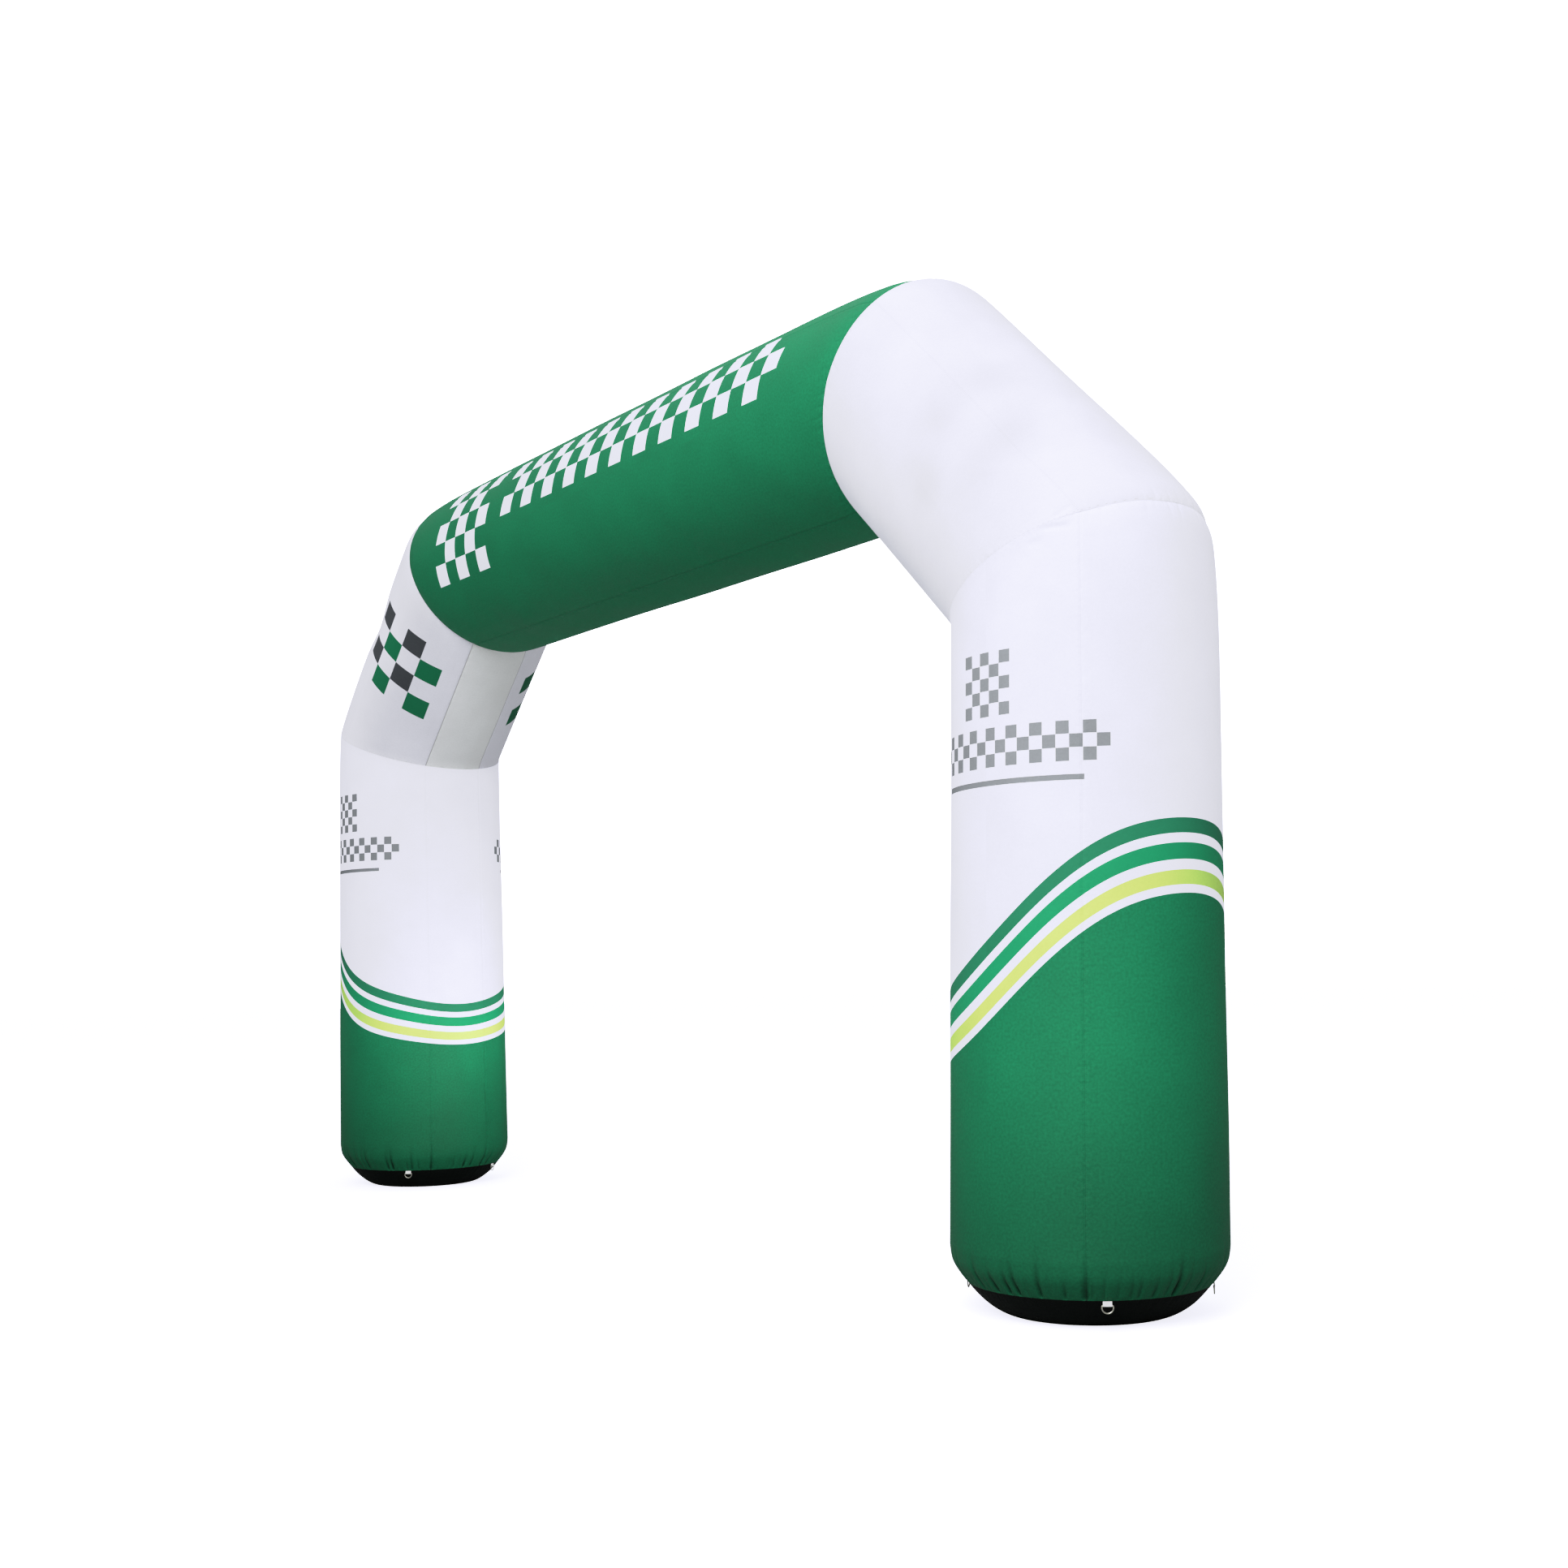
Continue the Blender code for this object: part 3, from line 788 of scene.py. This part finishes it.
def shoulder_skin(name, side, seed):
    """One shoulder's skin, from the crossbar down to the knee."""
    first = cut_normal(LEFT_CORNER, CORNER, KNEE)
    last = cut_normal(CORNER, KNEE, FOOT)
    rows, low, high = mitred_rows(CORNER, KNEE, first, last, SHOULDER_LEVELS, 7, True)

    def radius(turn, distance, edge):
        depth = 0.0
        for centre, along, deep, reach in DENTS[side]:
            arc = np.radians(signed_turn(turn - centre)) * KNEE_RADIUS
            depth = depth + deep * np.exp(-(arc ** 2 + (distance - along) ** 2) / reach ** 2)
        return KNEE_RADIUS - DENT_STRENGTH * depth * (1 - np.exp(-edge / SOFT_START))

    # Painted shade: darker towards the left shoulder's under side, where shade falls, and in soft patches over the
    # right shoulder's dents.
    def painted_shade(turn, distance):
        facing = np.where(np.abs(turn) > 90, signed_turn(180 - turn), turn)
        fall = np.clip((UNDER_START - facing) / UNDER_SPREAD, 0, 1)
        shade = UNDER_SHADE[side] * fall * fall * (3 - 2 * fall)
        for centre, along, share, reach in DENT_SHADES[side]:
            arc = np.radians(signed_turn(turn - centre)) * KNEE_RADIUS
            shade = shade + share * np.exp(-(arc ** 2 + (distance - along) ** 2) / reach ** 2)
        return shade

    def dye(turn, row):
        middle = signed_turn(turn)
        finish = np.where((middle >= -111) & (middle < -69), 1, 0)
        if side > 0:
            return finish
        facing = np.where(np.abs(middle) > 90, signed_turn(180 - middle), middle)
        levels = rows[row, 0] + 0.001
        level = (row >= len(MITRE_STEPS) + 7 - 1) & (row < len(MITRE_STEPS) + 7 + 2 * len(SHOULDER_LEVELS))
        storey = np.digitize(levels, BADGE_ROWS)
        square = np.floor((facing + 0.01 - BADGE_SPAN[0]) / BADGE_TURN).astype(int)
        marks = level & (levels > BADGE_ROWS[0]) & (levels < BADGE_ROWS[-1])
        marks &= (facing >= BADGE_SPAN[0]) & (facing < BADGE_SPAN[1]) & ((square + storey) % 2 == 0)
        finish[marks] = np.where(storey[marks] % 2, 2, 3)
        return finish

    place = slant_place(
        CORNER, KNEE, rows, low, high, radius, painted_shade, side, seed, True, CROWN_REACH, SHOULDER_SEAMS,
    )
    return tube_skin(name, len(rows), place, dye, (shoulder_cloth, belly_cloth, charcoal_print, badge_green))


for half, side in (("left", -1), ("right", 1)):
    shoulder = shoulder_skin(f"shoulder_{half}_cloth", side, SHOULDER_SEED + side)
    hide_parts(f"shoulder_{half}")

# The crossbar tube is green cloth, a little fuller than its neighbours, sewn to both shoulders at its mitres.
# White chequers are printed along its front and back.
CROWN_RADIUS = 0.492
BAR_BLOCK = tuple(-1.60 + 0.12 * index for index in range(6))
BAR_BLOCK_SPAN = (-22, 48)
BAR_BLOCK_TURN = 14
BAR_RUN = tuple(-0.83 + 0.1105 * index for index in range(23))
BAR_RUN_SPAN = (6, 45)
BAR_RUN_TURN = 13
BAR_REACH = 0.30
BAR_SEED = 60
WHITE_PRINT = (0.54, 0.55, 0.60)

bar_cloth = coated_cloth("green bar cloth", GREEN, 0.35, speckle=0.13)
# The white print glows like the white cloth: painted light.
white_print = coated_cloth("white print", WHITE_PRINT, 0.9, WHITE_GLOW)
bar_levels = [-1.64] + list(BAR_BLOCK) + list(BAR_RUN) + [1.64]
bar_rows, bar_low, bar_high = mitred_rows(
    LEFT_CORNER, CORNER, cut_normal(Vector((-KNEE.x, 0.0, KNEE.z)), LEFT_CORNER, CORNER),
    cut_normal(LEFT_CORNER, CORNER, KNEE), [level + CORNER.x for level in bar_levels], 6, False,
)


def bar_radius(turn, distance, edge):
    """Radius of the crossbar, fuller away from its mitres."""
    return KNEE_RADIUS + (CROWN_RADIUS - KNEE_RADIUS) * (1 - np.exp(-edge / SOFT_START))


def bar_painted_shade(turn, distance):
    """The crossbar gets no painted shade."""
    return np.zeros_like(distance)


def bar_dye(turn, row):
    middle = signed_turn(turn)
    facing = np.where(np.abs(middle) > 90, signed_turn(180 - middle), middle)
    finish = np.zeros(len(row), int)
    across = bar_rows[row, 0] - CORNER.x + 0.001
    prints = ((BAR_BLOCK, BAR_BLOCK_SPAN, BAR_BLOCK_TURN), (BAR_RUN, BAR_RUN_SPAN, BAR_RUN_TURN))
    for stops, span, step in prints:
        file = np.digitize(across, stops)
        square = np.floor((facing + 0.01 - span[0]) / step).astype(int)
        marks = (across > stops[0]) & (across < stops[-1]) & (facing >= span[0]) & (facing < span[1])
        finish[marks & ((square + file) % 2 == 1)] = 1
    return finish


crossbar = tube_skin(
    "crossbar_cloth", len(bar_rows),
    slant_place(
        LEFT_CORNER, CORNER, bar_rows, bar_low, bar_high, bar_radius, bar_painted_shade, 1, BAR_SEED, False, BAR_REACH,
        PLAIN_SEAMS,
    ),
    bar_dye, (bar_cloth, white_print),
)
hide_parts("crossbar")

# Each leg stands on a cup of heavier black cloth with a flat round sole, sewn to the leg's gathered foot.
BLACK = (0.0022, 0.0028, 0.0025)
CUP_ROWS = 18
CUP_POWER = 1.6
CUP_PLEATS = (0.45, 0.034, 0.0016, 0.030, 0.012)
CUP_WAVES = 0.0010
CUP_SEED = 80

black_cloth = coated_cloth("black coated cloth", BLACK, shine=0.05)
cup_shares = [math.sin(math.pi / 2 * index / CUP_ROWS) for index in range(CUP_ROWS + 1)]
cup_rows = np.array([BASE_SEAM * share ** CUP_POWER for share in cup_shares])


def cup_skin(name, side, seed):
    """One black cup, from its flat sole up to the base seam."""
    def place(column, row):
        height = cup_rows[row]
        turn = turns[column]
        below = BASE_SEAM - height
        soft = pleats(turn, below, seed, *CUP_PLEATS)
        soft += waviness(turn, height * 9, seed + 1, CUP_WAVES) * np.sin(np.pi * height / BASE_SEAM)
        inside = (row > 0) & (row < CUP_ROWS)
        size = leg_radius(height) + np.where(inside, soft, 0.0)
        centre = FOOT.x + (KNEE.x - FOOT.x) * height / KNEE.z
        swing = np.radians(turn)
        placed = np.column_stack((side * (centre + size * np.sin(swing)), -size * np.cos(swing), height))
        return placed, height, np.minimum(seam_arc(turn), below + 0.001), np.zeros_like(height)

    return tube_skin(name, CUP_ROWS + 1, place, lambda turn, row: 0, (black_cloth,))


for half, side in (("left", -1), ("right", 1)):
    cup = cup_skin(f"base_{half}_cup", side, CUP_SEED + side)
    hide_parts(f"base_{half}")

# Eight loops of white webbing are folded round the bars of the D-rings, their ends sewn into the base seams.
# Two rows of thread above the bar keep each ring in its fold.
RING_ANGLES = (-129, -52, 52, 129)
RING_WIDTH = 0.044
RING_WIRE = 0.005
RING_SIDE = 0.006
RING_BEND = 0.004
RING_DROP = 0.0155
WEBBING_WIDTH = 0.031
WEBBING_THICKNESS = 0.0018
WEBBING_PLAY = 0.0004
WEBBING_TOP = 0.001
WEBBING_STEPS = 6
WEBBING_WHITE = (0.74, 0.74, 0.72)
FOLD_START = 200
THREAD_ROWS = (-0.0100, -0.0048)
THREAD_STITCHES = 7
THREAD_PITCH = 0.0039
THREAD_LENGTH = 0.0029
THREAD_WIDTH = 0.0007


def webbing_finish():
    """Ribbed polyester webbing."""
    made = bpy.data.materials.new("white webbing")
    tree, add, link = node_tree(made)
    strip = add("UVMap", uv_map="strip")
    ribs = add("TexWave", bands_direction="Y", in_Scale=180.0, in_Distortion=0.3)
    cross = add("TexWave", bands_direction="X", in_Scale=150.0, in_Distortion=0.3)
    both = add("Math", operation="MAXIMUM")
    dirt = add("TexNoise", in_Scale=160.0, in_Detail=3.0)
    shade = add("MapRange", in_1=0.3, in_2=0.7, in_3=0.86, in_4=1.0)
    dyed = add("Mix", data_type="RGBA", blend_type="MULTIPLY")
    dyed.inputs[0].default_value = 1.0
    dyed.inputs[6].default_value = (*WEBBING_WHITE, 1.0)
    bump = add("Bump", in_Strength=0.7, in_Distance=0.0004)
    shader = add("BsdfPrincipled", in_Roughness=0.7, in_Sheen_Weight=0.2)
    out = add("OutputMaterial")
    for texture in (ribs, cross, dirt):
        link(strip.outputs[0], texture.inputs["Vector"])
    link(ribs.outputs[0], both.inputs[0])
    link(cross.outputs[0], both.inputs[1])
    link(both.outputs[0], bump.inputs["Height"])
    link(bump.outputs[0], shader.inputs["Normal"])
    link(dirt.outputs[0], shade.inputs[0])
    link(shade.outputs[0], dyed.inputs[7])
    link(dyed.outputs[2], shader.inputs["Base Color"])
    link(shader.outputs[0], out.inputs["Surface"])
    return made


def hang():
    """Offsets of the two plies of webbing from the base seam, back ply first."""
    slope = (leg_radius(BASE_SEAM) - leg_radius(0.080)) / (BASE_SEAM - 0.080)
    clearance = GAP * math.hypot(1, slope)
    back = slope * WEBBING_TOP - clearance - WEBBING_THICKNESS / 2
    return float(back), float(back - WEBBING_THICKNESS - GAP)


def seam_matrix(side, angle):
    """Matrix of a place on the base seam, X along the seam and -Y away from the leg."""
    turn = math.radians(angle)
    size = float(leg_radius(BASE_SEAM))
    centre = FOOT.x + (KNEE.x - FOOT.x) * BASE_SEAM / KNEE.z
    place = Vector((side * (centre + size * math.sin(turn)), -size * math.cos(turn), BASE_SEAM))
    return Matrix.Translation(place) @ Matrix.Rotation(side * turn, 4, "Z")


def add_piece(name, shape, finish, matrix):
    """Object of a finished bmesh, with its place in its mesh."""
    shape.transform(matrix)
    mesh = bpy.data.meshes.new(name)
    shape.to_mesh(mesh)
    shape.free()
    mesh.shade_smooth()
    mesh.set_sharp_from_angle(angle=math.radians(50))
    mesh.materials.append(finish)
    piece = bpy.data.objects.new(name, mesh)
    scene.collection.objects.link(piece)
    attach(piece, "root")
    return piece


def webbing_shape():
    """Folded strip: its side line is extruded across, and the ribbon is given its thickness."""
    back, front = hang()
    reach = RING_WIRE / 2 + WEBBING_PLAY + WEBBING_THICKNESS / 2
    line = [(back, -WEBBING_TOP)]
    for degrees in range(FOLD_START, 180 - FOLD_START - 10, -10):
        turn = math.radians(degrees)
        line.append(((back + front) / 2 - reach * math.cos(turn), -RING_DROP - reach * math.sin(turn)))
    line.append((front, -WEBBING_TOP))
    shape = bmesh.new()
    verts = [shape.verts.new((-WEBBING_WIDTH / 2, away, up)) for away, up in line]
    edges = [shape.edges.new(pair) for pair in zip(verts, verts[1:])]
    strip = shape.loops.layers.uv.new("strip")
    for _ in range(WEBBING_STEPS):
        grown = bmesh.ops.extrude_edge_only(shape, edges=edges)["geom"]
        edges = [item for item in grown if isinstance(item, bmesh.types.BMEdge) and item.is_boundary]
        moved = [item for item in grown if isinstance(item, bmesh.types.BMVert)]
        edges = [edge for edge in edges if all(vert in moved for vert in edge.verts)]
        bmesh.ops.translate(shape, verts=moved, vec=(WEBBING_WIDTH / WEBBING_STEPS, 0.0, 0.0))
    bmesh.ops.recalc_face_normals(shape, faces=shape.faces)
    bmesh.ops.solidify(shape, geom=shape.faces[:], thickness=WEBBING_THICKNESS)
    bmesh.ops.recalc_face_normals(shape, faces=shape.faces)
    if shape.calc_volume(signed=True) < 0:
        bmesh.ops.reverse_faces(shape, faces=shape.faces)
    outer, top = line[-2], line[-1]
    for up in THREAD_ROWS:
        share = (up - outer[1]) / (top[1] - outer[1])
        away = outer[0] + (top[0] - outer[0]) * share - WEBBING_THICKNESS / 2
        for stitch in range(THREAD_STITCHES):
            across = (stitch - (THREAD_STITCHES - 1) / 2) * THREAD_PITCH
            size = Matrix.Diagonal((THREAD_LENGTH / 2, THREAD_WIDTH / 2, THREAD_WIDTH / 2, 1.0))
            place = Matrix.Translation((across, away, up)) @ size
            bmesh.ops.create_uvsphere(shape, u_segments=10, v_segments=6, radius=1.0, matrix=place)
    for face in shape.faces:
        for loop in face.loops:
            loop[strip].uv = (loop.vert.co.x, loop.vert.co.z + loop.vert.co.y)
    return shape


white_webbing = webbing_finish()
for half, side in (("left", -1), ("right", 1)):
    for number, angle in enumerate(RING_ANGLES, start=1):
        loop = add_piece(f"loop_{half}_{number}", webbing_shape(), white_webbing, seam_matrix(side, angle))
        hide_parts(f"tab_{half}_{number}")

# Each D-ring is one bent wire, welded in the middle of its bar, with a dull pale plating.
# It hangs from the webbing with its round half down.
PLATING = (0.60, 0.58, 0.50)
WIRE_SIDES = 16


def ring_finish():
    """Dull plated steel with faint scratches."""
    made = bpy.data.materials.new("plated steel")
    tree, add, link = node_tree(made)
    where = add("TexCoord")
    stain = add("TexNoise", in_Scale=300.0, in_Detail=4.0)
    gloss = add("MapRange", in_1=0.3, in_2=0.7, in_3=0.22, in_4=0.42)
    shade = add("MapRange", in_1=0.3, in_2=0.7, in_3=0.8, in_4=1.0)
    dyed = add("Mix", data_type="RGBA", blend_type="MULTIPLY")
    dyed.inputs[0].default_value = 1.0
    dyed.inputs[6].default_value = (*PLATING, 1.0)
    bump = add("Bump", in_Strength=0.2, in_Distance=0.0002)
    shader = add("BsdfPrincipled", in_Metallic=1.0)
    out = add("OutputMaterial")
    link(where.outputs["Object"], stain.inputs["Vector"])
    link(stain.outputs[0], gloss.inputs[0])
    link(stain.outputs[0], shade.inputs[0])
    link(stain.outputs[0], bump.inputs["Height"])
    link(gloss.outputs[0], shader.inputs["Roughness"])
    link(shade.outputs[0], dyed.inputs[7])
    link(dyed.outputs[2], shader.inputs["Base Color"])
    link(bump.outputs[0], shader.inputs["Normal"])
    link(shader.outputs[0], out.inputs["Surface"])
    return made


def ring_shape():
    """The wire's round section, drawn along the bar and spun round each bend and the round half."""
    radius = (RING_WIDTH - RING_WIRE) / 2
    shape = bmesh.new()
    section = bmesh.ops.create_circle(
        shape, segments=WIRE_SIDES, radius=RING_WIRE / 2, matrix=Matrix.Rotation(math.pi / 2, 4, "Y"),
    )["verts"]
    edges = [edge for edge in shape.edges]

    def straight(edges, x, z):
        grown = bmesh.ops.extrude_edge_only(shape, edges=edges)["geom"]
        verts = [item for item in grown if isinstance(item, bmesh.types.BMVert)]
        bmesh.ops.translate(shape, verts=verts, vec=(x, 0.0, z))
        drawn = [item for item in grown if isinstance(item, bmesh.types.BMEdge)]
        return [edge for edge in drawn if all(vert in verts for vert in edge.verts)]

    def bent(edges, x, z, degrees, steps):
        verts = list({vert for edge in edges for vert in edge.verts})
        turned = bmesh.ops.spin(
            shape, geom=verts + edges, cent=(x, 0.0, z), axis=(0, 1, 0),
            angle=math.radians(degrees), steps=steps,
        )["geom_last"]
        return [item for item in turned if isinstance(item, bmesh.types.BMEdge)]

    edges = straight(edges, radius - RING_BEND, 0.0)
    edges = bent(edges, radius - RING_BEND, -RING_BEND, 90, 6)
    edges = straight(edges, 0.0, RING_BEND - RING_SIDE)
    edges = bent(edges, 0.0, -RING_SIDE, 180, 28)
    edges = straight(edges, 0.0, RING_SIDE - RING_BEND)
    edges = bent(edges, RING_BEND - radius, -RING_BEND, 90, 6)
    straight(edges, radius - RING_BEND, 0.0)
    bmesh.ops.remove_doubles(shape, verts=shape.verts, dist=1e-5)
    bmesh.ops.recalc_face_normals(shape, faces=shape.faces)
    if shape.calc_volume(signed=True) < 0:
        bmesh.ops.reverse_faces(shape, faces=shape.faces)
    return shape


plated_steel = ring_finish()
for half, side in (("left", -1), ("right", 1)):
    for number, angle in enumerate(RING_ANGLES, start=1):
        place = seam_matrix(side, angle) @ Matrix.Translation((0.0, sum(hang()) / 2, -RING_DROP))
        ring = add_piece(f"dring_{half}_{number}", ring_shape(), plated_steel, place)
        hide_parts(f"ring_{half}_{number}")

boxes = {"cad": cad_box, "visual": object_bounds()}
{name: [list(map(float, corner)) for corner in box] for name, box in boxes.items()}
